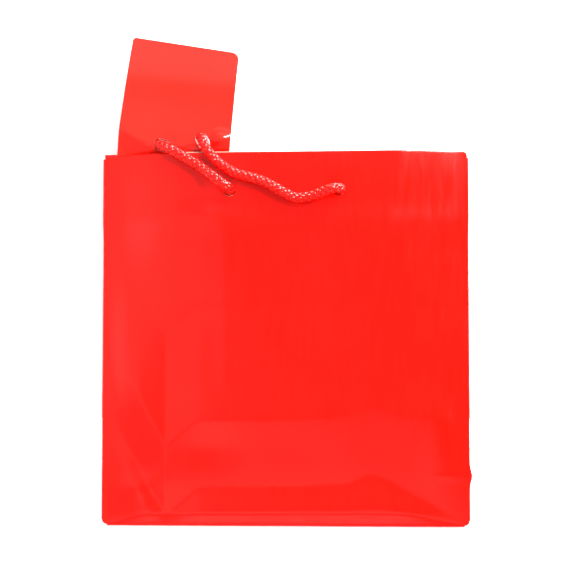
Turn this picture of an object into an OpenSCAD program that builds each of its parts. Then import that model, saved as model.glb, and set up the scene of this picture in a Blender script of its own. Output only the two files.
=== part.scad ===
// Gift bag of glossy laminated paper, folded flat and lying on its back.
// +X runs along the width, +Y up the height, +Z out of the front panel.
// The origin is the middle of the bottom's outer face, on the surface that the bag lies on.
// Folded flat, the stack from the surface up is: bottom, foot of the back panel, back panel,
// rear halves of the gussets, fore halves of the gussets, front panel.

/* [Bag] */
// Width of the front and back panels
bag_w = 200; // [180:1:300]
// Height of the panels from the bottom fold to the rim
bag_h = 203; // [165:1:320]
// Depth of the opened bag, the width of its bottom
bag_d = 114; // [90:1:126]
// Thickness of the laminated paper
paper_t = 0.25; // [0.15:0.05:0.35]
// Air between two neighbouring layers of the folded bag
layer_gap = 0.15; // [0.1:0.05:0.3]

/* [Rim] */
// Depth of the paper turned in at the rim
turn_in = 34; // [26:1:45]
// Width of the cardboard strips under the turned-in paper
strip_w = 124; // [100:1:150]
// Thickness of the cardboard strips
strip_t = 0.5; // [0.3:0.1:0.8]

/* [Handle] */
// Diameter of the rope
rope_d = 6; // [4:0.5:7]
// Distance between the two holes of one handle
hole_spacing = 60; // [50:1:70]
// Distance of the holes below the rim
hole_inset = 21; // [15:1:24]
// Play of the rope in its holes, on the diameter
hole_play = 0.5; // [0.3:0.1:1]
// Diameter of the flattened knots
knot_d = 11; // [9:0.5:13]
// Thickness of the flattened knots
knot_t = 8; // [6.5:0.5:9.5]

/* [Bottom] */
// Length of the back glue flap, measured from the back fold
back_flap_l = 72; // [60:1:85]
// Length of the front glue flap, measured from the front fold
front_flap_l = 68; // [50:1:85]
// Length of the side flaps
side_flap_l = 48; // [35:1:55]
// Thickness of the loose card in the bottom
board_t = 0.5; // [0.3:0.1:0.8]
// Play of the card all round
board_play = 2; // [1:0.5:4]
// Width of the glued tab of the side seam
seam_w = 14; // [10:1:20]

/* [Tag] */
// Width of the gift tag
tag_w = 58.5; // [50:0.5:62]
// Length of the gift tag
tag_l = 64.5; // [50:0.5:80]
// Thickness of the gift tag
tag_t = 0.3; // [0.2:0.05:0.5]
// Lean of the tag to the right
tag_lean = 8.2; // [0:0.1:10]
// Width of the two slots that the rope goes through
slot_w = 7.4; // [6.4:0.2:9]

/* [Hidden] */
$fn = 48;

bag_red = "#e3120f";
card_grey = "#b9aa94";
rope_red = "#d81e1c";
tag_red = "#ee2a24";

// Half sizes and the edges of the panels
half_w = bag_w / 2;
fold_y = bag_d / 2;
rim_y = bag_h - fold_y;
turn_y = rim_y - turn_in;
hole_y = rim_y - hole_inset;
hole_x = hole_spacing / 2;
hole_r = (rope_d + hole_play) / 2;
strip_half = strip_w / 2;
crease_x = half_w - fold_y;
end_play = 0.2; // the bottom and the foot are this much short of the side folds
past = 1; // how far a cutter reaches past what it cuts

// Heights of the layers above the surface, worked upwards
flap_z = 0;
board_z = flap_z + 3 * paper_t;
bottom_top = board_z + board_t;
foot_z = bottom_top + layer_gap;
back_z = foot_z + paper_t + layer_gap;
back_strip_z = back_z + paper_t;
back_turn_z = back_strip_z + strip_t;
back_top = back_turn_z + paper_t;
rear_turn_z = back_top + layer_gap;
rear_z = rear_turn_z + paper_t;
fore_z = rear_z + paper_t + layer_gap;
fore_turn_z = fore_z + paper_t;
front_turn_z = fore_turn_z + paper_t + layer_gap;
front_strip_z = front_turn_z + paper_t;
front_z = front_strip_z + strip_t;
knot_z = back_top + layer_gap;

// The front panel stands up over the knots and falls to the side folds and down the panel.
// Below the turned-in paper it also sinks by the layers that end there.
knot_rise = knot_z + knot_t - front_turn_z;
flat_margin = 4; // the level part ends this far inside the strip's ends
fold_margin = 2; // the slope ends this far from the side folds
level_half = strip_half - flat_margin;
rise_length = 100; // the slope over the knots starts this far below the turned-in paper's edge
foot_of_rise = turn_y - rise_length;
top_of_rise = turn_y - 2;
sink = strip_t + 2 * paper_t;
sink_length = 22;
sink_start = turn_y - sink_length;

function eased(t) = let (u = min(1, max(0, t))) u * u * (3 - 2 * u);
function across(x) = eased((half_w - fold_margin - abs(x)) / (half_w - fold_margin - level_half));
function along(y) = eased((y - foot_of_rise) / (top_of_rise - foot_of_rise));
function sunk(y) = sink * (1 - eased((y - sink_start) / (turn_y - sink_start)));
function lift(x, y) = knot_rise * across(x) * along(y) - sunk(y);

// Grid lines shared by the three front layers, so that their faces meet
slope_steps = 9;
rise_steps = 8;
half_lines = concat(
    [0, level_half / 2, level_half],
    [for (k = [0 : slope_steps]) strip_half + (half_w - fold_margin - strip_half) * k / slope_steps],
    [half_w]
);
x_lines = concat([for (k = [len(half_lines) - 1 : -1 : 1]) -half_lines[k]], half_lines);
y_lines = concat(
    [-fold_y],
    [for (k = [0 : rise_steps]) foot_of_rise + (top_of_rise - foot_of_rise) * k / rise_steps],
    [turn_y, hole_y, rim_y]
);
function within(lines, low, high) = [for (v = lines) if (v >= low - 0.001 && v <= high + 0.001) v];

// A thin sheet over a grid of columns and rows: base(x, y) gives its lower face
module sheet(columns, rows, thick, base) {
    nx = len(columns);
    ny = len(rows);
    count = nx * ny;
    lower = [for (y = rows, x = columns) [x, y, base(x, y)]];
    upper = [for (p = lower) [p[0], p[1], p[2] + thick]];
    function at(i, j, up) = up * count + j * nx + i;
    function split(a, b, c, d) = [[a, b, c], [a, c, d]];
    top_faces = [for (j = [0 : ny - 2], i = [0 : nx - 2])
        each split(at(i, j, 1), at(i, j + 1, 1), at(i + 1, j + 1, 1), at(i + 1, j, 1))];
    low_faces = [for (j = [0 : ny - 2], i = [0 : nx - 2])
        each split(at(i, j, 0), at(i + 1, j, 0), at(i + 1, j + 1, 0), at(i, j + 1, 0))];
    near_far = [for (i = [0 : nx - 2])
        each [
            [at(i, 0, 0), at(i, 0, 1), at(i + 1, 0, 1), at(i + 1, 0, 0)],
            [at(i, ny - 1, 0), at(i + 1, ny - 1, 0), at(i + 1, ny - 1, 1), at(i, ny - 1, 1)],
        ]];
    sides = [for (j = [0 : ny - 2])
        each [
            [at(0, j, 0), at(0, j + 1, 0), at(0, j + 1, 1), at(0, j, 1)],
            [at(nx - 1, j, 0), at(nx - 1, j, 1), at(nx - 1, j + 1, 1), at(nx - 1, j + 1, 0)],
        ]];
    polyhedron(points = concat(lower, upper), faces = concat(top_faces, low_faces, near_far, sides));
}

// A flat rectangular layer from corner to corner
module layer(x0, x1, y0, y1, z, thick) {
    translate([x0, y0, z]) cube([x1 - x0, y1 - y0, thick]);
}

// The two holes of a handle
module handle_holes(z0, z1) {
    for (side = [-1, 1])
        translate([side * hole_x, hole_y, z0]) cylinder(r = hole_r, h = z1 - z0);
}

// ---- Back panel, from the cross crease up to the rim ----
module back_panel() {
    color(bag_red) difference() {
        layer(-half_w, half_w, 0, rim_y, back_z, paper_t);
        handle_holes(back_z - past, back_z + paper_t + past);
    }
}
module back_strip() {
    color(card_grey) difference() {
        layer(-strip_half, strip_half, turn_y, rim_y, back_strip_z, strip_t);
        handle_holes(back_strip_z - past, back_strip_z + strip_t + past);
    }
}
module back_turn_in() {
    color(bag_red) difference() {
        layer(-half_w, half_w, turn_y, rim_y, back_turn_z, paper_t);
        handle_holes(back_turn_z - past, back_turn_z + paper_t + past);
    }
}
module seam_tab() {
    color(bag_red)
        layer(half_w - seam_w, half_w - end_play, end_play, turn_y - end_play, back_z + paper_t, paper_t);
}

// ---- Foot of the back panel, folded under it at the cross crease ----
module back_foot() {
    half = half_w - end_play;
    color(bag_red) layer(-half, half, end_play / 2, fold_y - end_play / 2, foot_z, paper_t);
}

// ---- Bottom, folded under the foot: glue flaps and a loose card ----
module bottom_back_flap() {
    half = half_w - end_play;
    color(bag_red) layer(-half, half, fold_y - back_flap_l, fold_y, flap_z, paper_t);
}
module bottom_front_flap() {
    half = half_w - end_play;
    color(bag_red) layer(-half, half, -fold_y, -fold_y + front_flap_l, flap_z + paper_t, paper_t);
}
module side_flap() {
    tip = fold_y - side_flap_l;
    translate([0, 0, flap_z + 2 * paper_t])
        linear_extrude(height = paper_t)
            polygon([
                [-half_w + end_play, -fold_y],
                [-half_w + side_flap_l, -tip],
                [-half_w + side_flap_l, tip],
                [-half_w + end_play, fold_y],
            ]);
}
module bottom_left_flap() {
    color(bag_red) side_flap();
}
module bottom_right_flap() {
    color(bag_red) mirror([1, 0, 0]) side_flap();
}
module bottom_board() {
    half = half_w - board_play;
    deep = fold_y - board_play;
    color(card_grey) layer(-half, half, -deep, deep, board_z, board_t);
}

// ---- Gussets, each folded in half towards the middle ----
module gusset_half(z) {
    layer(-half_w, -crease_x, -fold_y, rim_y, z, paper_t);
}
module gusset_turn_in(z) {
    layer(-half_w, -crease_x, turn_y, rim_y, z, paper_t);
}
module left_gusset_rear() {
    color(bag_red) gusset_half(rear_z);
}
module left_gusset_rear_turn_in() {
    color(bag_red) gusset_turn_in(rear_turn_z);
}
module left_gusset_fore() {
    color(bag_red) gusset_half(fore_z);
}
module left_gusset_fore_turn_in() {
    color(bag_red) gusset_turn_in(fore_turn_z);
}
module right_gusset_rear() {
    color(bag_red) mirror([1, 0, 0]) gusset_half(rear_z);
}
module right_gusset_rear_turn_in() {
    color(bag_red) mirror([1, 0, 0]) gusset_turn_in(rear_turn_z);
}
module right_gusset_fore() {
    color(bag_red) mirror([1, 0, 0]) gusset_half(fore_z);
}
module right_gusset_fore_turn_in() {
    color(bag_red) mirror([1, 0, 0]) gusset_turn_in(fore_turn_z);
}

// ---- Front panel, raised over the knots ----
module front_panel() {
    color(bag_red) difference() {
        sheet(x_lines, y_lines, paper_t, function(x, y) front_z + lift(x, y));
        handle_holes(front_z, front_z + knot_rise + past);
    }
}
module front_strip() {
    columns = within(x_lines, -strip_half, strip_half);
    rows = within(y_lines, turn_y, rim_y);
    color(card_grey) difference() {
        sheet(columns, rows, strip_t, function(x, y) front_strip_z + lift(x, y));
        handle_holes(front_strip_z, front_z + knot_rise + past);
    }
}
module front_turn_in() {
    rows = within(y_lines, turn_y, rim_y);
    color(bag_red) difference() {
        sheet(x_lines, rows, paper_t, function(x, y) front_turn_z + lift(x, y));
        handle_holes(front_turn_z, front_z + knot_rise + past);
    }
}

// ---- Rope handle: up out of the left hole, over the rim, through the tag, round behind it and back ----
rope_route = [
    [-30, 125, 11], [-30, 125, 14], [-31, 125.8, 17.5], [-34, 127.8, 19.6], [-38, 131, 19],
    [-42, 134.2, 16.6], [-47, 138, 15.1], [-53, 141.8, 15], [-59, 145.2, 15], [-63.5, 147.6, 14],
    [-67, 149.6, 11], [-69.6, 151.2, 7], [-73, 153.2, 4], [-78, 156.8, 3.2], [-81.5, 162.5, 3.2],
    [-81.5, 169.5, 3.2], [-77, 175.5, 3.2], [-69.5, 178, 3.2], [-61.5, 177, 3.2], [-54.5, 172.5, 3.2],
    [-50, 165.5, 3.2], [-47.8, 159.5, 4], [-46.4, 155.6, 7], [-45, 152.2, 11], [-43.4, 148.8, 14],
    [-40.8, 144.8, 15], [-34.5, 138.2, 15], [-26, 133.4, 15], [-17, 131, 15], [-9, 128, 15],
    [-1, 123.4, 15], [6, 120.4, 15], [13, 120.8, 15.1], [20, 122.8, 17], [25.5, 124.4, 19.5],
    [29, 125, 17.8], [30, 125, 14.4], [30, 125, 11],
];
ring_sides = 12;
rings_per_span = 2;

// Points along a smooth curve through the route
function held(k) = rope_route[min(len(rope_route) - 1, max(0, k))];
function curve_point(k, t) =
    0.5 * (2 * held(k)
        + (held(k + 1) - held(k - 1)) * t
        + (2 * held(k - 1) - 5 * held(k) + 4 * held(k + 1) - held(k + 2)) * t * t
        + (3 * held(k) - held(k - 1) - 3 * held(k + 1) + held(k + 2)) * t * t * t);
spans = len(rope_route) - 1;
rope_line = concat(
    [for (k = [0 : spans - 1], s = [0 : rings_per_span - 1]) curve_point(k, s / rings_per_span)],
    [rope_route[spans]]
);

function unit(v) = v / norm(v);
last_ring = len(rope_line) - 1;
function heading(k) = k == 0 || k == last_ring
    ? [0, 0, k == 0 ? 1 : -1]
    : unit(rope_line[k + 1] - rope_line[k - 1]);
// The ring's first side is carried from ring to ring without twist
function square_to(v, along_line) = unit(v - (v * along_line) * along_line);
ring_starts = [
    for (k = 0, v = [1, 0, 0]; k <= last_ring; k = k + 1, v = square_to(v, heading(min(k, last_ring))))
        v
];
function ring(k) = let (u = ring_starts[k], w = cross(heading(k), u))
    [for (s = [0 : ring_sides - 1])
        let (a = 360 * s / ring_sides) rope_line[k] + rope_d / 2 * (cos(a) * u + sin(a) * w)];

module handle_rope() {
    rope_points = [for (k = [0 : last_ring]) each ring(k)];
    walls = [for (k = [0 : last_ring - 1], s = [0 : ring_sides - 1])
        let (t = (s + 1) % ring_sides)
        each [
            [k * ring_sides + s, (k + 1) * ring_sides + t, k * ring_sides + t],
            [k * ring_sides + s, (k + 1) * ring_sides + s, (k + 1) * ring_sides + t],
        ]];
    start_cap = [for (s = [0 : ring_sides - 1]) s];
    end_cap = [for (s = [ring_sides - 1 : -1 : 0]) last_ring * ring_sides + s];
    color(rope_red) polyhedron(points = rope_points, faces = concat(walls, [start_cap, end_cap]));
}

// A knot is a round cushion, pulled up against the inside of the turned-in paper
module knot() {
    flat_side = 0.6;
    round_r = knot_t / 2 - flat_side;
    translate([0, hole_y, knot_z])
        rotate_extrude()
            polygon(concat(
                [[0, 0]],
                [for (a = [-90 : 15 : 90]) [
                    knot_d / 2 - round_r + round_r * cos(a),
                    knot_t / 2 + (knot_t / 2) * sin(a),
                ]],
                [[0, knot_t]]
            ));
}
module left_knot() {
    color(rope_red) translate([-hole_x, 0, 0]) knot();
}
module right_knot() {
    color(rope_red) translate([hole_x, 0, 0]) knot();
}

// ---- Gift tag: threaded on the rope, its lower edge in the mouth of the bag ----
tag_corner = [-94, rim_y + 0.3];
tag_low_z = fore_turn_z + paper_t + layer_gap;
tag_step = 5.5; // the tag steps up over the hidden loop of the rope by this much
step_from = 0.5;
step_to = 8.5;
left_slot = [26, 7.9, 173]; // place across and up the tag, and direction of the long axis
right_slot = [47.7, 13.2, 131];
left_slot_l = 10.4;
right_slot_l = 10.8;

module slot(place, long) {
    reach = (long - slot_w) / 2;
    translate([place[0], place[1], tag_low_z - past])
        rotate(place[2])
            hull()
                for (side = [-1, 1])
                    translate([side * reach, 0, 0])
                        cylinder(d = slot_w, h = tag_step + tag_t + 2 * past, $fn = 32);
}
module gift_tag() {
    columns = [0, tag_w];
    rows = concat([0], [for (k = [0 : 8]) step_from + (step_to - step_from) * k / 8], [tag_l]);
    rise = function(x, y) tag_low_z + tag_step * eased((y - step_from) / (step_to - step_from));
    color(tag_red)
        translate([tag_corner[0], tag_corner[1], 0])
            rotate(-tag_lean)
                difference() {
                    sheet(columns, rows, tag_t, rise);
                    slot(left_slot, left_slot_l);
                    slot(right_slot, right_slot_l);
                }
}

back_panel();
back_turn_in();
back_strip();
seam_tab();
back_foot();
bottom_back_flap();
bottom_front_flap();
bottom_left_flap();
bottom_right_flap();
bottom_board();
left_gusset_rear();
left_gusset_rear_turn_in();
left_gusset_fore();
left_gusset_fore_turn_in();
right_gusset_rear();
right_gusset_rear_turn_in();
right_gusset_fore();
right_gusset_fore_turn_in();
front_panel();
front_turn_in();
front_strip();
handle_rope();
left_knot();
right_knot();
gift_tag();
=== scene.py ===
# %% [markdown]
# # A gift bag of glossy laminated paper
# The bag lies folded flat on its back. Its front panel stands up over the knots of the rope handle,
# the rope falls over the rim, and a gift tag hangs on the rope with its lower edge in the mouth.
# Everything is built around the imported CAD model, in metres and in its frame: +X across the bag,
# +Y up its height, +Z out of the front panel. Sizes are written in millimetres and scaled once.

# %% Load the frame
import math

import bmesh
import bpy
import numpy as np
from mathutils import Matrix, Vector


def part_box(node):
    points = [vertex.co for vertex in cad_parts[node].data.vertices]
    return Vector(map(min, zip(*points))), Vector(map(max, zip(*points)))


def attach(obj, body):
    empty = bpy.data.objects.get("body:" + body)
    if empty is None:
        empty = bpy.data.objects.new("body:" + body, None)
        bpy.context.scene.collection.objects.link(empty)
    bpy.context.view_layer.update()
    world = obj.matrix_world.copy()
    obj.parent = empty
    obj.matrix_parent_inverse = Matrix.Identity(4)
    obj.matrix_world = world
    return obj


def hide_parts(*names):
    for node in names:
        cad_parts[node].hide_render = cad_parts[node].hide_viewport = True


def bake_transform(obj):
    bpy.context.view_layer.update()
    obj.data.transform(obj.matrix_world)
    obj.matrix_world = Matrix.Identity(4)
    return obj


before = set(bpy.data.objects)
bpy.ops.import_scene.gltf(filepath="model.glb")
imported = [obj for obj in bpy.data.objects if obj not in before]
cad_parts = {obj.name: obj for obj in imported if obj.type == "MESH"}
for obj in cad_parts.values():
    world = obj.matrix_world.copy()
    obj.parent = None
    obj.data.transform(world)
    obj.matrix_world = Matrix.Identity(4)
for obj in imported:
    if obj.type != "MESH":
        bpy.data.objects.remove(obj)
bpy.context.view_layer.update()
MM = 0.001

# %% [markdown]
# ## Two small tools
# Colours are picked as sRGB hex values, the way a printer's swatch is read off a screen, and a shader
# wants linear light, so one function converts them. The second function adds a node to any tree: it
# sets the node's own settings, then links or fills its inputs.

# %% Colour and node helpers
def linear(code):
    """The linear colour of an sRGB hex value such as #e70d07."""
    parts = [int(code[k:k + 2], 16) / 255 for k in (1, 3, 5)]
    return [c / 12.92 if c <= 0.04045 else ((c + 0.055) / 1.055) ** 2.4 for c in parts] + [1.0]


def add(tree, kind, feeds=None, **settings):
    """Adds a node, gives it its settings, then links or fills its inputs."""
    node = tree.nodes.new(kind)
    for name, value in settings.items():
        setattr(node, name, value)
    for key, value in (feeds or {}).items():
        if isinstance(value, bpy.types.Node):
            value = next(out for out in value.outputs if out.enabled)
        if isinstance(value, bpy.types.NodeSocket):
            tree.links.new(value, node.inputs[key])
        else:
            node.inputs[key].default_value = value
    return node


def start_material(name, **surface):
    """A material with one Principled shader whose constant inputs are set on its own sockets."""
    material = bpy.data.materials.new(name)
    material.use_nodes = True
    tree = material.node_tree
    shader = next(n for n in tree.nodes if n.type == "BSDF_PRINCIPLED")
    for key, value in surface.items():
        shader.inputs[key.replace("_", " ")].default_value = value
    return material, tree, shader


# %% [markdown]
# ## Camera
# The bag is seen from above, a degree or two off the vertical, so the rim looks a little shorter
# than the bottom and the left side a little shorter than the right. A long lens keeps the raised
# rope from growing towards the camera.

# %% Camera above the bag
camera_data = bpy.data.cameras.new("camera")
camera_data.lens = 60.15
camera_data.sensor_width = 36.0
camera_data.clip_start = 0.01
camera = bpy.data.objects.new("camera", camera_data)
camera.location = (14.8 * MM, 48.45 * MM, 529.5 * MM)
camera.rotation_euler = (math.radians(2.632), math.radians(1.521), 0)
bpy.context.scene.collection.objects.link(camera)
bpy.context.scene.camera = camera
bpy.context.scene.view_settings.view_transform = "Standard"
print("camera height (m):", round(camera.location.z, 4))

# %% [markdown]
# ## Route of the rope
# A limp braided rope 6 mm thick. It comes up out of the left hole, falls over the rim into the tag's
# left slot, lies in a loose loop behind the tag, comes back through the right slot and snakes down
# to the right hole. The points are the ones that the CAD model's rope follows. A Catmull-Rom curve
# goes through all of them, so the rope passes exactly where the solid lies.

# %% The rope's centre line
ROPE_D = 6.0
ROUTE = [
    (-30, 125, 11), (-30, 125, 14), (-31, 125.8, 17.5), (-34, 127.8, 19.6), (-38, 131, 19),
    (-42, 134.2, 16.6), (-47, 138, 15.1), (-53, 141.8, 15), (-59, 145.2, 15), (-63.5, 147.6, 14),
    (-67, 149.6, 11), (-69.6, 151.2, 7), (-73, 153.2, 4), (-78, 156.8, 3.2), (-81.5, 162.5, 3.2),
    (-81.5, 169.5, 3.2), (-77, 175.5, 3.2), (-69.5, 178, 3.2), (-61.5, 177, 3.2), (-54.5, 172.5, 3.2),
    (-50, 165.5, 3.2), (-47.8, 159.5, 4), (-46.4, 155.6, 7), (-45, 152.2, 11), (-43.4, 148.8, 14),
    (-40.8, 144.8, 15), (-34.5, 138.2, 15), (-26, 133.4, 15), (-17, 131, 15), (-9, 128, 15),
    (-1, 123.4, 15), (6, 120.4, 15), (13, 120.8, 15.1), (20, 122.8, 17), (25.5, 124.4, 19.5),
    (29, 125, 17.8), (30, 125, 14.4), (30, 125, 11),
]


def smooth_line(points, steps):
    """Points in mm along the Catmull-Rom curve through the given ones."""
    p = np.array([points[0], *points, points[-1]], float)
    t = np.linspace(0, 1, steps, endpoint=False)[:, None]
    parts = [
        0.5 * (2 * b + (c - a) * t + (2 * a - 5 * b + 4 * c - d) * t**2 + (3 * b - a - 3 * c + d) * t**3)
        for a, b, c, d in zip(p, p[1:], p[2:], p[3:])
    ]
    return np.vstack([*parts, p[-1:]])


rope_line = smooth_line(ROUTE, 10)
rope_length = np.linalg.norm(np.diff(rope_line, axis=0), axis=1).sum()
print("rope length (mm):", round(rope_length, 1))

# %% [markdown]
# ## Braided cord
# The real rope is a round braid: eight flat strands of shiny polypropylene yarn, four wound each
# way, each passing over one strand and under the next. Its crowns lie in rows along the rope, and
# each row leans the other way from its neighbours. It could be faked with a bumpy tube, but the
# strands cast real shadows on each other, so each strand is swept. Geometry Nodes suit this best:
# the tree copies the centre line once for each strand, winds the copies round it, lets them weave in
# and out, and sweeps a flat oval along each.

# %% The braid as a node tree
STRANDS = 8
BRAID_PITCH = 13.6  # one full turn of a strand, four crowns long
CROWN_LIFT = 0.42  # how far a strand rises and dips from the braid's middle radius
STRAND_W, STRAND_T = 2.35, 1.3
STRAND_STEP = 0.55  # spacing of the swept rings


def braid_tree():
    """Geometry Nodes that turn a line of edges into a round braid of flat strands."""
    tree = bpy.data.node_groups.new("round braid", "GeometryNodeTree")
    face = tree.interface
    face.new_socket("Line", in_out="INPUT", socket_type="NodeSocketGeometry")
    sizes = ("Pitch", "Middle radius", "Crown lift", "Strand width", "Strand thickness", "Ring step")
    for name in sizes:
        face.new_socket(name, in_out="INPUT", socket_type="NodeSocketFloat")
    face.new_socket("Strands", in_out="INPUT", socket_type="NodeSocketInt")
    face.new_socket("Yarn", in_out="INPUT", socket_type="NodeSocketMaterial")
    face.new_socket("Braid", in_out="OUTPUT", socket_type="NodeSocketGeometry")
    given = tree.nodes.new("NodeGroupInput").outputs

    line = add(tree, "GeometryNodeMeshToCurve", {"Mesh": given["Line"]})
    even = add(
        tree, "GeometryNodeResampleCurve", {"Curve": line, "Length": given["Ring step"]}, mode="LENGTH",
    )
    copies = add(
        tree, "GeometryNodeDuplicateElements", {"Geometry": even, "Amount": given["Strands"]},
        domain="SPLINE",
    )
    number = copies.outputs["Duplicate Index"]
    length = add(tree, "GeometryNodeSplineParameter").outputs["Length"]

    # Even strands wind one way and odd ones the other
    odd = add(tree, "ShaderNodeMath", {0: number, 1: 2.0}, operation="MODULO")
    hand = add(tree, "ShaderNodeMath", {0: odd, 1: -2.0, 2: 1.0}, operation="MULTIPLY_ADD")
    halved = add(tree, "ShaderNodeMath", {0: number, 1: 0.5}, operation="MULTIPLY")
    pair = add(tree, "ShaderNodeMath", {0: halved}, operation="FLOOR")
    seat = add(tree, "ShaderNodeMath", {0: pair, 1: math.pi / 2}, operation="MULTIPLY")
    turns = add(tree, "ShaderNodeMath", {0: length, 1: given["Pitch"]}, operation="DIVIDE")
    wound = add(tree, "ShaderNodeMath", {0: turns, 1: 2 * math.pi}, operation="MULTIPLY")
    angle = add(tree, "ShaderNodeMath", {0: wound, 1: hand, 2: seat}, operation="MULTIPLY_ADD")

    # Four crowns to the turn: one hand is over where the other is under
    fourfold = add(tree, "ShaderNodeMath", {0: wound, 1: 4.0}, operation="MULTIPLY")
    crowns = add(tree, "ShaderNodeMath", {0: fourfold}, operation="COSINE")
    weave = add(tree, "ShaderNodeMath", {0: crowns, 1: hand}, operation="MULTIPLY")
    reach = add(
        tree, "ShaderNodeMath", {0: weave, 1: given["Crown lift"], 2: given["Middle radius"]},
        operation="MULTIPLY_ADD",
    )

    normal = add(tree, "GeometryNodeInputNormal").outputs[0]
    tangent = add(tree, "GeometryNodeInputTangent").outputs[0]
    across = add(tree, "ShaderNodeVectorMath", {0: tangent, 1: normal}, operation="CROSS_PRODUCT")
    cosine = add(tree, "ShaderNodeMath", {0: angle}, operation="COSINE")
    sine = add(tree, "ShaderNodeMath", {0: angle}, operation="SINE")
    out_a = add(tree, "ShaderNodeVectorMath", {0: normal, "Scale": cosine.outputs[0]}, operation="SCALE")
    out_b = add(tree, "ShaderNodeVectorMath", {0: across, "Scale": sine.outputs[0]}, operation="SCALE")
    outward = add(tree, "ShaderNodeVectorMath", {0: out_a, 1: out_b}, operation="ADD")
    kept = add(
        tree, "GeometryNodeStoreNamedAttribute",
        {"Geometry": copies, "Name": "outward", "Value": outward},
        data_type="FLOAT_VECTOR", domain="POINT",
    )
    kept = add(
        tree, "GeometryNodeStoreNamedAttribute", {"Geometry": kept, "Name": "along", "Value": length},
        data_type="FLOAT", domain="POINT",
    )
    offset = add(
        tree, "ShaderNodeVectorMath", {0: outward, "Scale": reach.outputs[0]}, operation="SCALE",
    )
    moved = add(tree, "GeometryNodeSetPosition", {"Geometry": kept, "Offset": offset})
    facing = add(
        tree, "GeometryNodeInputNamedAttribute", {"Name": "outward"}, data_type="FLOAT_VECTOR",
    ).outputs[0]
    turned = add(tree, "GeometryNodeSetCurveNormal", {"Curve": moved, "Normal": facing}, mode="FREE")

    # A flat oval profile, and its place round the strand for the yarn's fibres
    ring = add(tree, "GeometryNodeCurvePrimitiveCircle", {"Resolution": 10, "Radius": 0.5})
    ring_part = add(tree, "GeometryNodeSplineParameter").outputs["Factor"]
    ring = add(
        tree, "GeometryNodeStoreNamedAttribute",
        {"Geometry": ring, "Name": "around", "Value": ring_part},
        data_type="FLOAT", domain="POINT",
    )
    oval = add(
        tree, "ShaderNodeCombineXYZ",
        {"X": given["Strand thickness"], "Y": given["Strand width"], "Z": 1.0},
    )
    profile = add(tree, "GeometryNodeTransform", {"Geometry": ring, "Scale": oval})
    swept = add(
        tree, "GeometryNodeCurveToMesh", {"Curve": turned, "Profile Curve": profile, "Fill Caps": True},
    )
    soft = add(tree, "GeometryNodeSetShadeSmooth", {"Geometry": swept})
    real = add(tree, "GeometryNodeRealizeInstances", {"Geometry": soft})
    done = add(tree, "GeometryNodeSetMaterial", {"Geometry": real, "Material": given["Yarn"]})
    add(tree, "NodeGroupOutput", {"Braid": done})
    return tree


BRAID = braid_tree()


def link(obj):
    bpy.context.scene.collection.objects.link(obj)
    return obj


def baked(obj):
    """Replaces an object's modifiers by the plain mesh that they make."""
    graph = bpy.context.evaluated_depsgraph_get()
    mesh = bpy.data.meshes.new_from_object(obj.evaluated_get(graph))
    obj.modifiers.clear()
    old, obj.data = obj.data, mesh
    bpy.data.meshes.remove(old)
    mesh.name = obj.name
    return obj


def braided_piece(name, line, diameter, yarn):
    """A braid of the given outer diameter (mm) along a line of points (mm)."""
    edges = [(k, k + 1) for k in range(len(line) - 1)]
    mesh = bpy.data.meshes.new(name)
    mesh.from_pydata([tuple(p * MM) for p in np.asarray(line, float)], edges, [])
    piece = link(bpy.data.objects.new(name, mesh))
    size = diameter / ROPE_D
    thickness = STRAND_T * size
    sizes = {
        "Pitch": BRAID_PITCH * size * MM,
        "Middle radius": (diameter / 2 - thickness / 2 - CROWN_LIFT * size) * MM,
        "Crown lift": CROWN_LIFT * size * MM,
        "Strand width": STRAND_W * size * MM,
        "Strand thickness": thickness * MM,
        "Ring step": STRAND_STEP * size * MM,
        "Strands": STRANDS,
        "Yarn": yarn,
    }
    modifier = piece.modifiers.new("braid", "NODES")
    modifier.node_group = BRAID
    for item in BRAID.interface.items_tree:
        if item.in_out == "INPUT" and item.name in sizes:
            modifier[item.identifier] = sizes[item.name]
    baked(piece)
    print(name, "faces:", len(piece.data.polygons))
    return piece


# %% [markdown]
# ## Polypropylene yarn
# The rope is multifilament polypropylene, spun from melt and left shiny: hundreds of fine filaments
# run along each strand. That gives crisp glints on the crowns, streaked along the strand, and a deep
# red in the gaps. The real filaments are 0.03 mm, too fine to show, so the streaks are drawn about
# 0.2 mm wide. They read the two attributes that the braid stores: how far round the strand, and how
# far along it.

# %% Yarn material
STREAKS_ROUND = 26.0  # streaks round one strand
STREAK_TWIST = 160.0  # how fast they turn along it, for each metre


def polypropylene_yarn():
    material, tree, shader = start_material("shiny polypropylene yarn", Roughness=0.09, IOR=1.55)
    around = add(tree, "ShaderNodeAttribute", attribute_name="around").outputs["Fac"]
    along = add(tree, "ShaderNodeAttribute", attribute_name="along").outputs["Fac"]
    strand_turns = add(tree, "ShaderNodeMath", {0: along, 1: STREAK_TWIST}, operation="MULTIPLY")
    twisted = add(
        tree, "ShaderNodeMath", {0: around, 1: STREAKS_ROUND, 2: strand_turns}, operation="MULTIPLY_ADD",
    )
    place = add(tree, "ShaderNodeCombineXYZ", {"X": twisted, "Y": strand_turns})
    streaks = add(tree, "ShaderNodeTexNoise", {"Vector": place, "Scale": 1.0, "Detail": 3.0})
    height = streaks.outputs["Fac"]
    shades = {"Color1": linear("#b80a07"), "Color2": linear("#e9180f")}
    tint = add(tree, "ShaderNodeMixRGB", {"Fac": height, **shades})
    bump = add(tree, "ShaderNodeBump", {"Strength": 0.08, "Distance": 0.08 * MM, "Height": height})
    tree.links.new(tint.outputs[0], shader.inputs["Base Color"])
    tree.links.new(bump.outputs[0], shader.inputs["Normal"])
    return material


YARN = polypropylene_yarn()
rope = braided_piece("braided_handle_rope", rope_line, ROPE_D, YARN)

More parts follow.
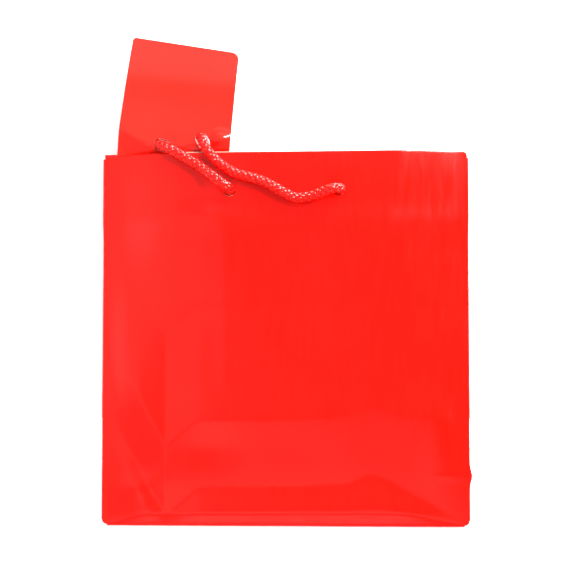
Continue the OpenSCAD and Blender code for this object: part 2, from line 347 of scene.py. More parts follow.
# %% [markdown]
# ## Knots
# Each rope end is tied in a knot inside the bag, pulled flat between the panels. Only its top shows,
# from inside. A trefoil line is what an overhand knot looks like when it is pulled tight, so a
# thinner, squeezed braid follows one, inside the space of the CAD knot.

# %% Two tight knots
KNOT_CORD_D = 4.2


def knot_piece(name, node):
    low, high = (np.array(c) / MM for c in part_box(node))
    middle, half = (low + high) / 2, (high - low - KNOT_CORD_D) / 2
    t = np.linspace(0, 2 * math.pi, 90)
    line = np.stack([
        middle[0] + half[0] / 3 * (np.sin(t) + 2 * np.sin(2 * t)),
        middle[1] + half[1] / 3 * (np.cos(t) - 2 * np.cos(2 * t)),
        middle[2] - half[2] * np.sin(3 * t),
    ], axis=1)
    return braided_piece(name, line, KNOT_CORD_D, YARN)


knots = {node: knot_piece(f"tied_{node}", node) for node in ("left_knot", "right_knot")}

# %% [markdown]
# ## Finishes of the paper
# The bag is 250 g art paper, printed solid red and laminated with a glossy polypropylene film. The
# film gives the mirror-like, slightly uneven gloss (orange peel a few millimetres across) and the
# deep, saturated colour. The inside is the bare paper, white and matt with soft fibres. Where the
# sheet is cut, its white core shows as a thin line. The strips and the loose board are grey card
# pressed from waste paper, with dark specks. The tag is cast-coated card. Its red is painted lighter
# and warmer than the bag's, as painted light for the brighter light that its sloping face catches.

# %% Paper materials
def object_noise(tree, size_mm, detail=2.0, stretch=(1.0, 1.0, 1.0)):
    """Noise whose grains are about size_mm across on the piece itself."""
    place = add(tree, "ShaderNodeTexCoord").outputs["Object"]
    scaled = add(tree, "ShaderNodeMapping", {"Vector": place, "Scale": stretch})
    return add(tree, "ShaderNodeTexNoise", {"Vector": scaled, "Scale": 1000 / size_mm, "Detail": detail})


def glossy_print(name, deep, bright, low, high, peel):
    """Solid print under gloss: colour drift, uneven gloss, orange peel and fine rub marks."""
    material, tree, shader = start_material(name, IOR=1.5)
    drift = object_noise(tree, 45)
    shades = {"Color1": linear(deep), "Color2": linear(bright)}
    tint = add(tree, "ShaderNodeMixRGB", {"Fac": drift.outputs["Fac"], **shades})
    rubbed = object_noise(tree, 2.4, 3.0, (1.0, 0.12, 1.0))
    spread = {"From Min": 0.3, "From Max": 0.75, "To Min": low, "To Max": high}
    gloss = add(tree, "ShaderNodeMapRange", {"Value": rubbed.outputs["Fac"], **spread})
    dimples = object_noise(tree, 4.5, 1.0).outputs["Fac"]
    bump = add(tree, "ShaderNodeBump", {"Strength": 1.0, "Distance": peel * MM, "Height": dimples})
    tree.links.new(tint.outputs[0], shader.inputs["Base Color"])
    tree.links.new(gloss.outputs[0], shader.inputs["Roughness"])
    tree.links.new(bump.outputs[0], shader.inputs["Normal"])
    return material


def bare_fibre(name, light, dark, grain_mm, specks=0.0):
    """Uncoated paper or card: matt, with soft fibres and, in grey card, dark specks."""
    material, tree, shader = start_material(name, Roughness=0.85, IOR=1.4)
    fibre = object_noise(tree, grain_mm, 4.0, (1.0, 0.35, 1.0)).outputs["Fac"]
    shades = {"Color1": linear(dark), "Color2": linear(light)}
    tint = add(tree, "ShaderNodeMixRGB", {"Fac": fibre, **shades})
    if specks:
        spots = object_noise(tree, 0.9, 0.0).outputs["Fac"]
        chosen = add(tree, "ShaderNodeMapRange", {"Value": spots, "From Min": 0.68, "From Max": 0.74})
        share = add(tree, "ShaderNodeMath", {0: chosen, 1: specks}, operation="MULTIPLY")
        tint = add(tree, "ShaderNodeMixRGB", {"Fac": share, "Color1": tint, "Color2": linear("#4a4038")})
    bump = add(tree, "ShaderNodeBump", {"Strength": 0.6, "Distance": 0.03 * MM, "Height": fibre})
    tree.links.new(tint.outputs[0], shader.inputs["Base Color"])
    tree.links.new(bump.outputs[0], shader.inputs["Normal"])
    return material


LAMINATE = glossy_print("gloss laminated red print", "#d60801", "#de0a01", 0.16, 0.25, 0.004)
INSIDE = bare_fibre("uncoated white paper", "#f6f3ef", "#e9e5df", 0.8)
CORE = bare_fibre("cut paper edge", "#f4d9d2", "#e6b9b0", 0.3)
CARD = bare_fibre("grey chipboard", "#bfb09a", "#a39480", 0.7, specks=0.7)
# The tag's red is painted lighter than the bag's: painted light, for the light that its sloping face
# catches.
LIGHTENED_TAG_PRINT = glossy_print("cast-coated red card painted lighter", "#e41a10", "#ec2015", 0.12, 0.20, 0.004)
PAPER = [LAMINATE, INSIDE, CORE]
BOARD = [CARD, CARD, CARD]
TAG_CARD = [LIGHTENED_TAG_PRINT, INSIDE, CORE]

# %% [markdown]
# ## Shape of the folded front
# Seen from above, the gloss tells where the paper tilts: it is level over the knots and the card
# strip, falls to the side folds, is pushed up along the cross crease where the bag has been folded,
# and has soft facets near the bottom corners. All of it is one height field, so the panel, its
# turned-in edge, the card strip and the fold lips agree. The facets die away at the side folds.

# %% Height of the front layers
low_corner, high_corner = (np.array(c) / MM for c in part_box("front_panel"))
HALF_W, BOTTOM, RIM = high_corner[0], low_corner[1], high_corner[1]
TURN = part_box("front_turn_in")[0][1] / MM
PAPER_T = (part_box("back_panel")[1][2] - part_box("back_panel")[0][2]) / MM
STRIP_T = (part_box("front_strip")[1][2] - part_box("front_strip")[0][2]) / MM
HOLE_Y, HOLE_X, HOLE_R = 125.0, 30.0, 3.25
KNOT_RISE = 6.7  # how far the knots lift the front
LEVEL_HALF, FLAT_MARGIN = 58.0, 2.0  # half width of the level part, and where its slopes end
RISE_FOOT, RISE_TOP = 12.0, 110.0  # the slope up to the knots, along the bag
SINK, SINK_START = 1.0, 90.0  # below the turned-in edge the panel sinks by this much
# Top of the lit band under the cross crease, from left to right: place across, height up the bag
CREST_X = (-100, -93, -65, -47, 8, 35, 46, 62, 90, 100)
CREST_Y = (42, 36, -14, 0, 0.5, 2.3, 7.5, 2.3, -0.4, -3.5)
CREST_RISE = 2.7
# Soft bumps and dents: centre, radii along and across, turn (degrees), height
DENTS = [
    (-40, 116, 20, 12, -35, 0.9), (32, 117, 9, 6, 0, -0.35), (-39, -15, 12, 9, 0, -0.5),
    (-82, -37, 14, 6, 10, 0.7), (-76, -24, 8, 7, 35, -0.4), (60, 60, 45, 30, 20, 0.35),
    (-20, 50, 60, 26, -8, 0.3), (40, -48, 45, 6, 0, 0.25),
]
# Faint pressed lines: from, to, height, reach to each side
LINES = [
    ((-63, 65.7), (-5, 65.7), 0.10, 5), ((-33, 21), (-33, 102), 0.10, 6),
    ((-60, 28.5), (70, 28.5), 0.10, 6),
]
KINK_Y, KINK_OUT, KINK_REACH = -30.5, 1.3, 3.5  # the kink in the right side fold
EDGE_FADE, END_FADE = 22.0, 8.0  # facets die away this far from the side folds and the bottom

rng = np.random.default_rng(7)
WAVES = [(rng.uniform(0, math.pi), rng.uniform(28, 90), rng.uniform(0, 6.3)) for _ in range(12)]


def eased(t):
    u = np.clip(t, 0, 1)
    return u * u * (3 - 2 * u)


def ripple(x, y):
    """A gentle waviness, between about -1 and 1, from a few long waves that cross."""
    total = sum(np.sin((x * np.cos(a) + y * np.sin(a)) * 2 * math.pi / w + p) for a, w, p in WAVES)
    return total / len(WAVES) ** 0.5 / 1.6


def settled(x, y, z):
    """Every layer is as wavy as it is high in the stack, so the layers never cross."""
    return z * (1 + 0.05 * ripple(x, y))


def facets(x, y):
    """The front panel's own creases and dents (mm)."""
    right_line = 92 - (103 - y) * 16 / 93
    shoulder = 0.055 * np.minimum(100 - right_line, HALF_W - x)
    shelf = np.minimum(np.minimum(shoulder, 0.06 * (HALF_W + x)), 0.3 * (y - BOTTOM))
    crest = np.interp(x, CREST_X, CREST_Y)
    below = 37 + 18 * np.clip((x - 58) / 42, 0, 1)
    drop = np.where(y < crest, (crest - y) / below, (y - crest) / 60)
    height = CREST_RISE * np.maximum(0, 1 - drop)
    height = height + 1.0 * eased((crest - below - y) / 16)
    for cx, cy, a, b, turn, rise in DENTS:
        c, s = math.cos(math.radians(turn)), math.sin(math.radians(turn))
        u, v = ((x - cx) * c + (y - cy) * s) / a, ((y - cy) * c - (x - cx) * s) / b
        height = height + rise * np.exp(-u * u - v * v)
    for (x0, y0), (x1, y1), rise, reach in LINES:
        along = np.array([x1 - x0, y1 - y0], float)
        t = np.clip(((x - x0) * along[0] + (y - y0) * along[1]) / (along @ along), 0, 1)
        away = np.hypot(x - x0 - t * along[0], y - y0 - t * along[1])
        height = height + rise * np.maximum(0, 1 - away / reach)
    nick_width = 0.2 + 4 * np.clip((x - 76) / 24, 0, 1)
    nick = np.maximum(0, 1 - np.abs(y - KINK_Y) / nick_width) * eased((x - 76) / 20)
    edges = eased((HALF_W - np.abs(x)) / EDGE_FADE) * eased((y - BOTTOM) / END_FADE)
    return np.maximum(0, shelf) + (height + 0.5 * nick) * edges


def front_rise(x, y):
    """How far the front layers stand above their height at the knots' level part's foot (mm)."""
    over = eased((HALF_W - FLAT_MARGIN - np.abs(x)) / (HALF_W - FLAT_MARGIN - LEVEL_HALF))
    up = eased((y - RISE_FOOT) / (RISE_TOP - RISE_FOOT))
    sunk = SINK * (1 - eased((y - SINK_START) / (TURN - SINK_START)))
    # The turned-in edge and the card end together here and print through as one thin step
    calm = 1 - 0.75 * eased((y - TURN + 6) / 16)
    return KNOT_RISE * over * up - sunk + facets(x, y) * calm


middle_line = facets(np.zeros(9), np.linspace(-50, 60, 9))
print("front height field, highest facet on the middle line (mm):", round(float(middle_line.max()), 2))

# %% [markdown]
# ## Making a sheet of paper
# A sheet is drawn as the surface in the middle of its thickness, a net of rows and columns. Rounded
# corners come from narrowing the rows near the ends. A punched hole is made by pulling the net's
# square ring of points round it into a circle and leaving the cells inside out, which keeps the net
# even, where a boolean cut would leave slivers that show in the gloss. Solidify then gives it its
# thickness: print outside, bare paper inside, and the white core on every cut edge.

# %% Sheet helpers
CORNER = 2.7  # radius of the bag's corners
CELL = 1.25  # spacing of the nets that have holes
CORNER_ROWS = np.array([0, 0.15, 0.4, 0.8, 1.3, 2.0])


def corner_inset(y, low, high, radius=CORNER):
    """How much narrower a sheet is at height y, for rounded corners."""
    d = np.clip(np.minimum(y - low, high - y), 0, radius)
    return radius - np.sqrt(np.maximum(0, radius**2 - (radius - d) ** 2))


def paper_piece(name, points, finishes, thickness=PAPER_T, flip=False, keep=None):
    """Builds a sheet from rows x columns x 3 points (mm) of its middle surface."""
    rows, columns = points.shape[:2]
    faces = []
    for i in range(rows - 1):
        for j in range(columns - 1):
            if keep is None or keep[i, j]:
                a = i * columns + j
                quad = (a, a + 1, a + columns + 1, a + columns)
                faces.append(quad[::-1] if flip else quad)
    mesh = bpy.data.meshes.new(name)
    mesh.from_pydata((points.reshape(-1, 3) * MM).tolist(), [], faces)
    bm = bmesh.new()
    bm.from_mesh(mesh)
    bmesh.ops.delete(bm, geom=[v for v in bm.verts if not v.link_faces], context="VERTS")
    bmesh.ops.remove_doubles(bm, verts=bm.verts, dist=1e-6)
    bm.to_mesh(mesh)
    bm.free()
    piece = link(bpy.data.objects.new(name, mesh))
    for finish in finishes:
        mesh.materials.append(finish)
    wall = piece.modifiers.new("thickness", "SOLIDIFY")
    wall.thickness = thickness * MM
    wall.offset = 0
    wall.material_offset = 1
    wall.material_offset_rim = 2
    baked(piece)
    piece.data.polygons.foreach_set("use_smooth", [True] * len(piece.data.polygons))
    piece.data.set_sharp_from_angle(angle=math.radians(35))
    return piece


def cell_middles(grid):
    """The value in the middle of each cell of a net."""
    return (grid[:-1, :-1] + grid[1:, 1:]) / 2


def off_holes(x, y):
    """True for the net cells outside the square rings round the holes, from their middles."""
    kept = np.ones(x.shape, bool)
    for side in (-1, 1):
        kept &= np.maximum(np.abs(x - side * HOLE_X), np.abs(y - HOLE_Y)) > 2 * CELL
    return kept


def round_holes(x, y):
    """Pulls the square ring of net points round each hole into a circle."""
    for side in (-1, 1):
        dx, dy = x - side * HOLE_X, y - HOLE_Y
        square = np.maximum(np.maximum(np.abs(dx), np.abs(dy)), 1e-9)
        ring = 2 * CELL
        share = 1 - eased((square - ring) / (2 * ring))
        scale = 1 - share + share * (square / np.maximum(np.hypot(dx, dy), 1e-9)) * (HOLE_R / ring)
        x, y = side * HOLE_X + dx * scale, HOLE_Y + dy * scale
    return x, y


def fold_over(panel_mid, turn_mid, rows_low, x_lines, x_edges, rise, holes=False, bulge=None):
    """The net of a panel whose top edge is turned in: up the panel, round the rim, down inside."""
    radius = abs(panel_mid - turn_mid) / 2
    top = RIM - radius - PAPER_T / 2
    up = np.append(rows_low[rows_low < top - 0.2], top)
    down = up[up >= TURN][::-1]
    down = np.append(down, TURN) if down[-1] > TURN + 0.2 else down
    arc = np.linspace(0, math.pi, 9)[1:-1]
    y = np.concatenate([up, top + radius * np.sin(arc), down])
    share = np.concatenate([np.zeros(len(up)), (1 - np.cos(arc)) / 2, np.ones(len(down))])
    grid_y, grid_x = np.meshgrid(y, x_lines, indexing="ij")
    spread = 1 - corner_inset(grid_y, BOTTOM, RIM) / HALF_W
    grid_x = grid_x * spread if x_edges is None else grid_x
    keep = None
    if holes:
        keep = off_holes(cell_middles(grid_x), cell_middles(grid_y))
        grid_x, grid_y = round_holes(grid_x, grid_y)
    z = panel_mid + (turn_mid - panel_mid) * share[:, None] + rise(grid_x, np.minimum(grid_y, top))
    if bulge is not None:
        grid_x, grid_y = grid_x + bulge[0](grid_x, grid_y), grid_y + bulge[1](grid_x, grid_y)
    return np.stack([grid_x, grid_y, settled(grid_x, grid_y, z)], axis=-1), keep


def layer_mid(node):
    """Height of the middle of a flat CAD layer (mm)."""
    low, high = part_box(node)
    return (low[2] + high[2]) / 2 / MM


def level(x, y):
    return np.zeros_like(x)


# %% [markdown]
# ## Front panel
# The front and its turned-in edge are one sheet on the real bag, folded over the card strip at the
# rim, so they are one piece here too. A kink at the right side fold makes the outline bulge by more
# than a millimetre.

# %% Front sheet
COLUMNS = np.arange(-HALF_W, HALF_W + 0.01, CELL)
even_rows = np.arange(HOLE_Y - 150 * CELL, RIM, CELL)
even_rows = even_rows[even_rows > BOTTOM + CORNER_ROWS[-1] + 0.2]
ROWS = np.unique(np.round(np.concatenate([BOTTOM + CORNER_ROWS, even_rows]), 4))


def side_kink(x, y):
    """The right side fold bulges a little at a kink."""
    return KINK_OUT * np.exp(-(((y - KINK_Y) / KINK_REACH) ** 2)) * eased((x - 80) / 20)


def rim_slant(x, y):
    """The rim of the front stands a little higher on the right than on the left."""
    return 0.8 * x / HALF_W * eased((y - BOTTOM) / (RIM - BOTTOM))


FRONT_MID = high_corner[2] - KNOT_RISE - PAPER_T / 2
FRONT_TURN_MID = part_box("front_turn_in")[1][2] / MM - KNOT_RISE - PAPER_T / 2
points, keep = fold_over(
    FRONT_MID, FRONT_TURN_MID, ROWS, COLUMNS, None, front_rise, holes=True, bulge=(side_kink, rim_slant),
)
front_sheet = paper_piece("front_sheet", points, PAPER, keep=keep)
print("front sheet faces:", len(front_sheet.data.polygons))

# %% [markdown]
# ## Back, gussets and the layers of the bottom
# The back is a sheet folded over its card strip like the front. Each side gusset is two halves with
# a crease between them, and its rim is turned in as well. Under the back lies its foot, and under
# that the bottom with its four glued flaps. All of them are flat, apart from the waviness that the
# whole stack shares, so they need little more than the sheet helper.

# %% Folded-over sheets and flat layers
def turned_sheet(name, panel, turn, x_lines, rows, printed_down, holes=False, square=False):
    """A panel and its turned-in edge from the boxes of their CAD nodes; square keeps its corners."""
    net, keep = fold_over(
        layer_mid(panel), layer_mid(turn), rows, x_lines, x_lines if square else None, level, holes,
    )
    return paper_piece(name, net, PAPER, flip=printed_down, keep=keep)


def layer_rows(low, high, step, radius):
    """Rows of a plain layer, closer together at its rounded ends."""
    inner = np.linspace(low + radius, high - radius, max(2, int((high - low) / step)))
    ends = np.array([0, 0.1, 0.35]) * radius
    return np.unique(np.concatenate([low + ends, inner, high - ends[::-1]]))


def flat_layer(
    name, node, finishes, step=8.0, printed_down=True, radius=1.0, taper=None, rise=None, holes=False,
):
    """A flat sheet the size of its CAD node's box; taper(y) narrows it on each side."""
    low, high = (np.array(c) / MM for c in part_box(node))
    keep = None
    if holes:
        lines = COLUMNS[(COLUMNS > low[0] - 0.01) & (COLUMNS < high[0] + 0.01)]
        rows = ROWS[(ROWS > low[1] + 0.3) & (ROWS < high[1] - 0.3)]
        rows = np.concatenate([[low[1]], rows, [high[1]]])
    else:
        lines = np.linspace(low[0], high[0], max(2, int((high[0] - low[0]) / step)))
        rows = layer_rows(low[1], high[1], step, radius)
    lines = np.unique(np.round(np.concatenate([[low[0]], lines, [high[0]]]), 4))
    y, x = np.meshgrid(rows, lines, indexing="ij")
    middle, wide = (low[0] + high[0]) / 2, high[0] - low[0]
    inset = corner_inset(y, low[1], high[1], radius)
    if taper is not None:
        left, right = taper(y)
        x = low[0] + inset + left + (x - low[0]) * (wide - 2 * inset - left - right) / wide
    elif not holes:
        x = middle + (x - middle) * (1 - 2 * inset / wide)
    if holes:
        keep = off_holes(cell_middles(x), cell_middles(y))
        x, y = round_holes(x, y)
    if rise is None:
        thick = high[2] - low[2]
        z = np.full_like(x, (low[2] + high[2]) / 2)
    else:
        thick = STRIP_T
        z = high[2] - KNOT_RISE - thick / 2 + rise(x, y)
    net = np.stack([x, y, settled(x, y, z)], axis=-1)
    return paper_piece(name, net, finishes, thickness=thick, flip=printed_down, keep=keep)


back_rows = ROWS[ROWS > TURN - 2 * CELL - 0.1]
back_rows = np.concatenate([np.linspace(0, back_rows[0], 17)[:-1], back_rows])
back_sheet = turned_sheet(
    "back_sheet", "back_panel", "back_turn_in", COLUMNS, back_rows, printed_down=True, holes=True,
)

CREASE_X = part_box("left_gusset_rear")[1][0] / MM
gusset_rows = np.concatenate([np.linspace(BOTTOM, TURN, 26), np.linspace(TURN, RIM, 8)[1:]])
GUSSETS = {}
for side, sign in (("left", -1), ("right", 1)):
    lines = np.sort(sign * np.linspace(abs(CREASE_X), HALF_W, 12))
    for part, printed_down in (("rear", False), ("fore", True)):
        node = f"{side}_gusset_{part}"
        GUSSETS[node] = turned_sheet(
            f"{node}_sheet", node, f"{node}_turn_in", lines, gusset_rows, printed_down, square=True,
        )


SIDE_FLAP_L = 48.0


def flap_taper(side):
    """The side flaps are cut at 45 degrees at both ends."""
    def taper(y):
        reach = np.maximum(0, np.abs(y) - (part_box("bottom_left_flap")[1][1] / MM - SIDE_FLAP_L))
        return (reach, 0) if side > 0 else (0, reach)
    return taper


foot_sheet = flat_layer("back_foot_sheet", "back_foot", PAPER, printed_down=False)
tab_sheet = flat_layer("seam_tab_sheet", "seam_tab", PAPER, printed_down=True)
FLAPS = {}
for node in ("bottom_back_flap", "bottom_front_flap", "bottom_left_flap", "bottom_right_flap"):
    taper = flap_taper(-1) if "left" in node else flap_taper(1) if "right" in node else None
    FLAPS[node] = flat_layer(f"{node}_sheet", node, PAPER, taper=taper)
board = flat_layer("loose_bottom_board", "bottom_board", BOARD, radius=2.0)
back_card = flat_layer("back_card_strip", "back_strip", BOARD, holes=True)
front_card = flat_layer("front_card_strip", "front_strip", BOARD, rise=front_rise, holes=True)
plain = (front_sheet, back_sheet, foot_sheet, tab_sheet, board, back_card, front_card)
print("sheets:", len(plain) + len(GUSSETS) + len(FLAPS))

# %% [markdown]
# ## Fold lips
# Where two panels meet, the paper turns round in a tight, rounded lip. On the model each panel is a
# piece of its own, because it swings on its own, so the lip is a third piece between them. Each lip
# is a half round swept along its fold, from the edge of one layer to the edge of the next, with the
# print on the side that faces out of the bag. The right front fold and the bottom front fold have no
# joint in the CAD model, which opens its closed chains there. The right one is a part round that
# stays with the front, and the bottom one is two, which stay with one panel each.

# %% Rounded lips along the folds
LIP_STEPS = 8
LIP_Y = 70.0  # where along the side folds the blends are anchored
BOTTOM_LIP_OUT = 1.1  # how far the bottom front fold stands out


def lip(name, line, z_from, z_to, axis, place, outward, start=0.0, end=1.0, out=None, flip=False):
    """A half-round strip along a fold: line holds positions along it, on y for axis 0, on x for 1."""
    turn = np.linspace(start, end, LIP_STEPS + 1) * math.pi
    z_from, z_to = (np.broadcast_to(v, line.shape).astype(float) for v in (z_from, z_to))
    middle, radius = (z_from + z_to) / 2, (z_to - z_from) / 2
    reach = np.abs(radius) if out is None else np.full_like(radius, out)
    across = place + outward * np.outer(reach, np.sin(turn))
    z = middle[:, None] - np.outer(radius, np.cos(turn))
    along = np.repeat(line[:, None], len(turn), axis=1)
    x, y = (across, along) if axis == 0 else (along, across)
    net = np.stack([x, y, settled(x, y, z)], axis=-1)
    return paper_piece(name, net, PAPER, flip=flip)


def front_edge(y):
    """Height of the front sheet's middle along a side fold."""
    return FRONT_MID + front_rise(np.full_like(y, HALF_W), y)


side_line = np.linspace(BOTTOM + CORNER, RIM - CORNER, 90)
back_line = np.linspace(0.5, RIM - CORNER, 60)
wide_line = np.linspace(-HALF_W + CORNER, HALF_W - CORNER, 60)
REAR, FORE, BACK = (layer_mid(n) for n in ("left_gusset_rear", "left_gusset_fore", "back_panel"))
FOOT, FLAP, INNER_FLAP = (layer_mid(n) for n in ("back_foot", "bottom_back_flap", "bottom_front_flap"))
LIPS = []


def joined_lip(name, bodies, start, end, **shape):
    """A lip between two bodies, listed in LIPS with them and the points where they meet."""
    piece = lip(name, **shape)
    LIPS.append((piece, bodies, start, end))
    return piece


for side, sign in (("left", -1), ("right", 1)):
    edge, inner = sign * HALF_W, sign * abs(CREASE_X)
    joined_lip(
        f"{side}_back_fold_lip", ("back", f"{side}_rear"), (edge, LIP_Y, BACK), (edge, LIP_Y, REAR),
        line=back_line, z_from=BACK, z_to=REAR, axis=0, place=edge, outward=sign, flip=sign > 0,
    )
    joined_lip(
        f"{side}_gusset_crease_lip", (f"{side}_rear", f"{side}_fore"),
        (inner, LIP_Y, REAR), (inner, LIP_Y, FORE),
        line=side_line, z_from=REAR, z_to=FORE, axis=0, place=inner, outward=-sign, flip=sign > 0,
    )
joined_lip(
    "left_front_fold_lip", ("left_fore", "front"),
    (-HALF_W, LIP_Y, FORE), (-HALF_W, LIP_Y, FRONT_MID - SINK),
    line=side_line, z_from=FORE, z_to=front_edge(side_line), axis=0, place=-HALF_W, outward=-1,
)
joined_lip(
    "foot_crease_lip", ("back", "foot"), (0, 0, BACK), (0, 0, FOOT),
    line=wide_line, z_from=FOOT, z_to=BACK, axis=1, place=0.0, outward=-1,
)
joined_lip(
    "bottom_fold_lip", ("foot", "bottom"), (0, -BOTTOM, FOOT), (0, -BOTTOM, FLAP),
    line=wide_line, z_from=FLAP, z_to=FOOT, axis=1, place=-BOTTOM, outward=1,
)
right_lip = lip(
    "right_front_fold_lip", side_line, FORE, front_edge(side_line), 0, HALF_W, 1, start=0.35, flip=True,
)
for vertex in right_lip.data.vertices:
    vertex.co.x += KINK_OUT * MM * math.exp(-(((vertex.co.y / MM - KINK_Y) / KINK_REACH) ** 2))
front_bottom = FRONT_MID + front_rise(wide_line, np.full_like(wide_line, BOTTOM))
front_bottom_lip = lip(
    "front_bottom_fold_lip", wide_line, FLAP, front_bottom, 1, BOTTOM, -1,
    start=0.5, out=BOTTOM_LIP_OUT, flip=True,
)
bottom_front_lip = lip(
    "bottom_front_fold_lip", wide_line, INNER_FLAP, front_bottom, 1, BOTTOM, -1,
    end=0.42, out=BOTTOM_LIP_OUT, flip=True,
)
print("lips:", len(LIPS) + 3)

# %% [markdown]
# ## Gift tag
# A die-cut card with two long slots for the rope. Its lower edge stands in the mouth of the bag. It
# steps up over the loop of rope behind it along a soft bend that runs up to the right, and its free
# right edge curls a little, which catches the light. The card is a fine net with rounded corners.
# The slots are cut with a boolean, because they lie askew, and the net stays dense around them. The
# cut is given the print's red, as on a card whose slots are punched from the printed side.

# %% The tag
TAG_W, TAG_L, TAG_T, TAG_LEAN = 58.5, 64.5, 0.3, math.radians(-8.2)
TAG_LEFT, TAG_LOW = -94.0, RIM + 0.3
TAG_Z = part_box("gift_tag")[0][2] / MM + TAG_T / 2
TAG_STEP = 5.5  # how far it steps up over the rope
TAG_TRIM = 0.9  # the left edge is cut this far in
TOP_SKEW = 0.0165  # the top edge is cut a little askew
TAG_TUCK = 3.0  # how far the card goes on below its solid, into the mouth
SLOT_W = 6.6
SLOTS = ((25.8, 7.7, 170, 9.0), (47.6, 13.0, 130, 9.2))  # place across and up, turn, length
CUT_SIDES = 48


def tag_place(u, v, z):
    """From across and up the tag to the bag's frame."""
    c, s = math.cos(TAG_LEAN), math.sin(TAG_LEAN)
    return np.stack([TAG_LEFT + u * c - v * s, TAG_LOW + u * s + v * c, z], axis=-1)


def tag_height(u, v):
    bend = 9.0 + 0.34 * np.clip(u - 36, 0, 40) + 7 * (1 - eased(u / 18))
    step = TAG_STEP * eased((v + TAG_TUCK) / (bend + TAG_TUCK))
    curl = 2.3 * np.exp(-(((u - 57.6) / 4.6) ** 2) - ((v - 15.2) / 3.9) ** 2) * eased((u - 50.5) / 3)
    bow = 0.5 * np.sin(np.clip((v - 14) / (TAG_L - 14), 0, 1) * math.pi)
    ends = -1.2 * np.clip((v - 38) / (TAG_L - 38), 0, 1) ** 2
    return TAG_Z + step + curl + bow + ends


def tag_net():
    """The lower edge reaches a little further into the mouth than the solid does."""
    low_rows = [-TAG_TUCK, -2.8, -2.4, -1.8, -1.0, 0, 1, 2.0]
    high_rows = TAG_L - np.array([4, 3, 2.2, 1.5, 0.9, 0.4, 0.1, 0])
    v_lines = np.concatenate([low_rows, np.arange(3.0, TAG_L - 4.2, 0.9), high_rows])
    v, u = np.meshgrid(v_lines, np.linspace(0, TAG_W, 66), indexing="ij")
    left, right = (corner_inset(v, -TAG_L, TAG_L, r) for r in (2.0, 4.0))
    low = corner_inset(v, -TAG_TUCK, 2 * TAG_L, 2.0)
    left, right = np.maximum(left, low), np.maximum(right, low)
    wide = TAG_W + 1.0 + 3.0 * (1 - v / TAG_L)
    u = TAG_TRIM + left + u * (wide - left - right) / TAG_W
    v = v * (1 + TOP_SKEW * (0.62 - u / TAG_W))
    return tag_place(u, v, tag_height(u, v))


def slot_cutter(u, v, turn, length):
    """A rounded bar that cuts one slot."""
    c, s, n = math.cos(math.radians(turn)), math.sin(math.radians(turn)), CUT_SIDES
    ring = []
    for k in range(n):
        a = 2 * math.pi * k / n
        x = SLOT_W / 2 * math.cos(a) + math.copysign((length - SLOT_W) / 2, math.cos(a))
        y = SLOT_W / 2 * math.sin(a)
        ring.append((u + x * c - y * s, v + x * s + y * c))
    ring = np.array(ring)
    walls = [tag_place(ring[:, 0], ring[:, 1], np.full(n, z)) for z in (0.0, 25.0)]
    faces = [tuple(range(n - 1, -1, -1)), tuple(range(n, 2 * n))]
    faces += [(k, (k + 1) % n, n + (k + 1) % n, n + k) for k in range(n)]
    mesh = bpy.data.meshes.new("cutter")
    mesh.from_pydata((np.vstack(walls) * MM).tolist(), [], faces)
    mesh.materials.append(LIGHTENED_TAG_PRINT)
    return link(bpy.data.objects.new("cutter", mesh))


tag = paper_piece("gift_tag_card", tag_net(), TAG_CARD, thickness=TAG_T)
for slot in SLOTS:
    cutter = slot_cutter(*slot)
    cut = tag.modifiers.new("slot", "BOOLEAN")
    cut.object, cut.operation, cut.solver = cutter, "DIFFERENCE", "EXACT"
    baked(tag)
    bpy.data.objects.remove(cutter)
print("tag faces:", len(tag.data.polygons))

# %% [markdown]
# ## What rides on what
# Each piece is told which part of the model it moves with, and the CAD solids it stands for are
# hidden. The table also lists the finish it has in the imported record.

# %% Rides, replaced solids and finishes
PARTS = [
    (front_sheet, "front", "red_laminated_paper", ("front_panel", "front_turn_in")),
    (front_card, "front", "grey_board", ("front_strip",)),
    (right_lip, "front", "red_laminated_paper", ()),
    (front_bottom_lip, "front", "red_laminated_paper", ()),
    (back_sheet, "back", "red_laminated_paper", ("back_panel", "back_turn_in")),
    (back_card, "back", "grey_board", ("back_strip",)),
    (tab_sheet, "back", "red_laminated_paper", ("seam_tab",)),
    (foot_sheet, "foot", "red_laminated_paper", ("back_foot",)),
    (board, "bottom", "grey_board", ("bottom_board",)),
    (bottom_front_lip, "bottom", "red_laminated_paper", ()),
    (tag, "tag", "red_tag_card", ("gift_tag",)),
    (rope, "front", "red_rope", ("handle_rope",)),
]
PARTS += [(knot, "front", "red_rope", (node,)) for node, knot in knots.items()]
PARTS += [(flap, "bottom", "red_laminated_paper", (node,)) for node, flap in FLAPS.items()]
PARTS += [
    (sheet, node.replace("gusset_", ""), "red_laminated_paper", (node, f"{node}_turn_in"))
    for node, sheet in GUSSETS.items()
]
for piece, body, finish, nodes in PARTS:
    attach(piece, body)
    if nodes:
        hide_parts(*nodes)
for piece, (body_a, body_b), start, end in LIPS:
    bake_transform(piece)

# %% [markdown]
# ## Floor and light
# A plain white table. Glossy paper shows its surroundings, so what it mirrors makes it look like
# paper. A dim room, darker to the right, keeps the level panel a deep red. Four large soft lights
# round the table light it evenly, and the gloss doesn't mirror them, so they leave no streaks in the
# steep flanks. Three dim cards overhead are mirrored: one in the left flank, one in the slope under
# the cross crease, one in the tag. Two small bright lights at the upper right, one of them low, give
# the rope and the tag's curl their white glints.

# %% Table, room and soft lights
TABLE = 3.0  # half its width, in metres


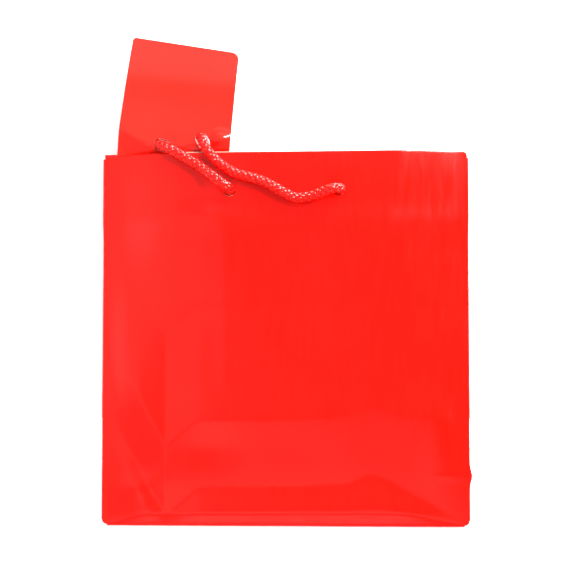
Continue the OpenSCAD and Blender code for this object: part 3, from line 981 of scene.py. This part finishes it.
def add_floor():
    material, tree, shader = start_material("matt white table", Roughness=0.9, IOR=1.3)
    shader.inputs["Base Color"].default_value = linear("#f7f7f7")
    mesh = bpy.data.meshes.new("table")
    corners = [(x * TABLE, y * TABLE, 0) for x, y in ((-1, -1), (1, -1), (1, 1), (-1, 1))]
    mesh.from_pydata(corners, [], [(0, 1, 2, 3)])
    mesh.materials.append(material)
    floor = link(bpy.data.objects.new("table", mesh))
    floor.location.z = -0.0002


def softbox(name, place, size, power, mirrored=True, aim=(0.0, 0.06, 0.0)):
    """A soft light at a place (m), turned towards the bag; the gloss mirrors only the chosen ones."""
    data = bpy.data.lights.new(name, "AREA")
    data.shape, data.size, data.size_y, data.energy = "RECTANGLE", size[0], size[1], power
    lamp = link(bpy.data.objects.new(name, data))
    lamp.location = place
    towards = np.array(aim) - np.array(place)
    lamp.rotation_euler = Vector(towards).to_track_quat("-Z", "Y").to_euler()
    lamp.visible_camera = False
    lamp.visible_glossy = mirrored


add_floor()
world = bpy.data.worlds.new("dim white room")
bpy.context.scene.world = world
world.use_nodes = True
room = next(n for n in world.node_tree.nodes if n.type == "BACKGROUND")
room.inputs["Color"].default_value = linear("#ffffff")
where = add(world.node_tree, "ShaderNodeTexCoord").outputs["Generated"]
sideways = add(world.node_tree, "ShaderNodeSeparateXYZ", {0: where}).outputs["X"]
from_left_to_right = {"From Min": -0.6, "From Max": 0.6, "To Min": 0.34, "To Max": 0.10}
dimmer = add(world.node_tree, "ShaderNodeMapRange", {"Value": sideways, **from_left_to_right})
world.node_tree.links.new(dimmer.outputs["Result"], room.inputs["Strength"])
softbox("far side", (0.0, 1.35, 0.60), (1.4, 0.4), 24.0, mirrored=False)
softbox("near side", (0.0, -1.2, 0.60), (1.4, 0.4), 16.0, mirrored=False)
softbox("right side", (1.35, 0.07, 0.60), (0.4, 1.4), 20.0, mirrored=False)
softbox("left side", (-1.35, 0.07, 0.60), (0.4, 1.4), 14.0, mirrored=False)
softbox("left card", (-0.62, 0.16, 1.25), (0.7, 1.0), 0.7)
softbox("lower card", (0.0, -0.60, 1.30), (1.2, 0.50), 1.0)
softbox("far card", (-0.1, 0.85, 1.30), (0.8, 0.40), 0.8)
softbox("key", (0.55, 0.66, 0.90), (0.24, 0.24), 10.0)
softbox("low glint", (0.72, 0.90, 0.40), (0.80, 0.36), 42.0)
